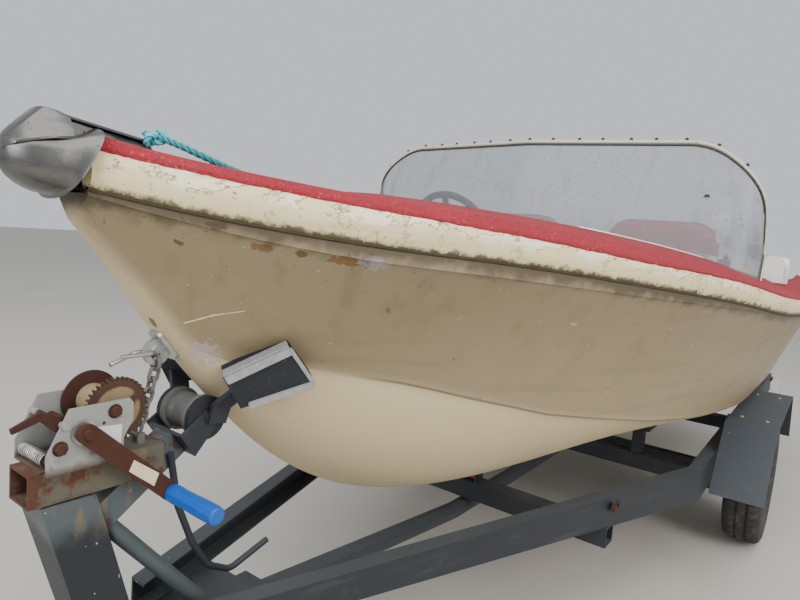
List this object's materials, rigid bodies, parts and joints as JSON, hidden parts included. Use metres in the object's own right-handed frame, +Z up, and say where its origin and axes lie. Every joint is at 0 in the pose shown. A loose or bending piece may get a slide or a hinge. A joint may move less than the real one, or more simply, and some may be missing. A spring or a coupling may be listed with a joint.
{
  "type": "speedboat on trailer",
  "caption": "Small open glass-fibre speedboat with wrap-round windscreen on a single-axle trailer with bow post, hand winch and jockey wheel.",
  "frame": {"origin": "on the ground under the centre of the bounding box, between coupling nose and tail lamps", "axes": "+X to the boat's port side, +Y aft towards the transom, +Z up"},
  "size_m": [1.598, 4.83, 1.425],
  "materials": {
    "gelcoat": "aged cream gelcoat over glass fibre, stained and scuffed",
    "roll_paint": "cream moulded edge with a flaking coat and mildew",
    "nonskid": "faded red textured non-skid strip",
    "deck_paint": "dull off-white gelcoat",
    "screen": "hazy scratched clear acrylic",
    "screen_trim": "dark sealing strip with pale edge",
    "dark_plastic": "weathered black plastic",
    "white_plastic": "white moulded plastic, a little chalky",
    "red_lens": "red lens plastic",
    "seat_vinyl": "pinkish red marine vinyl, padded",
    "wood": "varnished plywood, dulled",
    "frame_paint": "dark blue-grey paint over steel, chipped at the edges",
    "post_paint": "blue-grey paint over steel, rust at the welds",
    "guard_paint": "blue-grey painted sheet with bare chips",
    "galvanised": "dull galvanised steel",
    "rusty_steel": "rust-brown steel",
    "cast_alloy": "cast aluminium, worn smooth and grey",
    "stainless": "bright stainless steel",
    "wheel_paint": "greyed white painted steel rim",
    "tyre_rubber": "weathered black tyre rubber",
    "roller_rubber": "black rubber with grey scuffs",
    "red_roller": "dusty red rubber",
    "grip_blue": "bright blue moulded grip",
    "bunk_carpet": "dark carpet over timber",
    "rope_teal": "teal laid rope"
  },
  "bodies": {
    "main": {"hull": "gelcoat", "gunwale_port": "roll_paint", "gunwale_starboard": "roll_paint", "nonskid_strips": "nonskid", "deck": "deck_paint", "cockpit_coaming": "deck_paint", "motor_well": "deck_paint", "cockpit_floor": "deck_paint", "windscreen": "screen", "windscreen_trim": "screen_trim", "dashboard": "wood", "steering_column": "dark_plastic", "seat_boxes": "deck_paint", "seat_cushions": "seat_vinyl", "seat_backs": "seat_vinyl", "bow_casting": "cast_alloy", "side_lamps": "red_lens", "side_rails": "frame_paint", "cross_members": "frame_paint", "drawbar": "frame_paint", "spine_tube": "galvanised", "keel_rollers": "red_roller", "bunks": "bunk_carpet", "axle": "frame_paint", "leaf_springs": "rusty_steel", "spring_hangers": "frame_paint", "mudguards": "guard_paint", "guard_straps": "frame_paint", "winch_base": "post_paint", "winch_post": "post_paint", "bent_rod": "frame_paint", "bow_roller": "roller_rubber", "bow_pads": "roller_rubber", "bow_fork": "frame_paint", "winch_frame": "galvanised", "bow_eye": "stainless", "bow_chain": "galvanised", "winch_hook": "stainless", "coupling": "galvanised", "jockey_tube": "galvanised", "jockey_clamp": "galvanised", "light_board": "white_plastic", "tail_lamps": "red_lens", "side_fitting": "white_plastic", "bow_rope": "rope_teal", "rope_coil": "rope_teal"},
    "wheel_port": {"tyre_port": "tyre_rubber", "rim_port": "wheel_paint"},
    "wheel_starboard": {"tyre_starboard": "tyre_rubber", "rim_starboard": "wheel_paint"},
    "jockey_stem": {"jockey_leg": "galvanised"},
    "jockey_caster": {"jockey_fork": "galvanised"},
    "jockey_roller": {"jockey_wheel": "roller_rubber"},
    "helm": {"steering_wheel": "dark_plastic"},
    "drum": {"winch_drum": "rusty_steel"},
    "crank": {"winch_crank": "rusty_steel", "winch_grip": "grip_blue"}
  },
  "joints": [
    {"name": "wheel_port_spin", "type": "hinge", "parent": "main", "child": "wheel_port", "pos_m": [0.69, 0.795, 0.245], "axis": [1, 0, 0], "continuous": true},
    {"name": "wheel_starboard_spin", "type": "hinge", "parent": "main", "child": "wheel_starboard", "pos_m": [-0.69, 0.795, 0.245], "axis": [1, 0, 0], "continuous": true},
    {"name": "jockey_slide", "type": "slide", "parent": "main", "child": "jockey_stem", "axis": [0, 0, 1], "range_m": [0, 0.11]},
    {"name": "jockey_swivel", "type": "hinge", "parent": "jockey_stem", "child": "jockey_caster", "pos_m": [0.08, -1.95, 0.166], "axis": [0, 0, 1], "continuous": true},
    {"name": "jockey_wheel_spin", "type": "hinge", "parent": "jockey_caster", "child": "jockey_roller", "pos_m": [0.08, -1.908, 0.076], "axis": [1, 0, 0], "continuous": true},
    {"name": "steering_spin", "type": "hinge", "parent": "main", "child": "helm", "pos_m": [-0.34, 0.07, 1.115], "axis": [0, 0.866, 0.5], "range_deg": [-540, 540]},
    {"name": "winch_drum_spin", "type": "hinge", "parent": "main", "child": "drum", "pos_m": [0, -1.45, 0.795], "axis": [1, 0, 0], "continuous": true},
    {"name": "winch_crank_spin", "type": "hinge", "parent": "main", "child": "crank", "pos_m": [0, -1.50724, 0.777], "axis": [1, 0, 0], "continuous": true}
  ],
  "couplings": [
    {"joint": "winch_crank_spin", "follows": "winch_drum_spin", "ratio": -3.8}
  ]
}
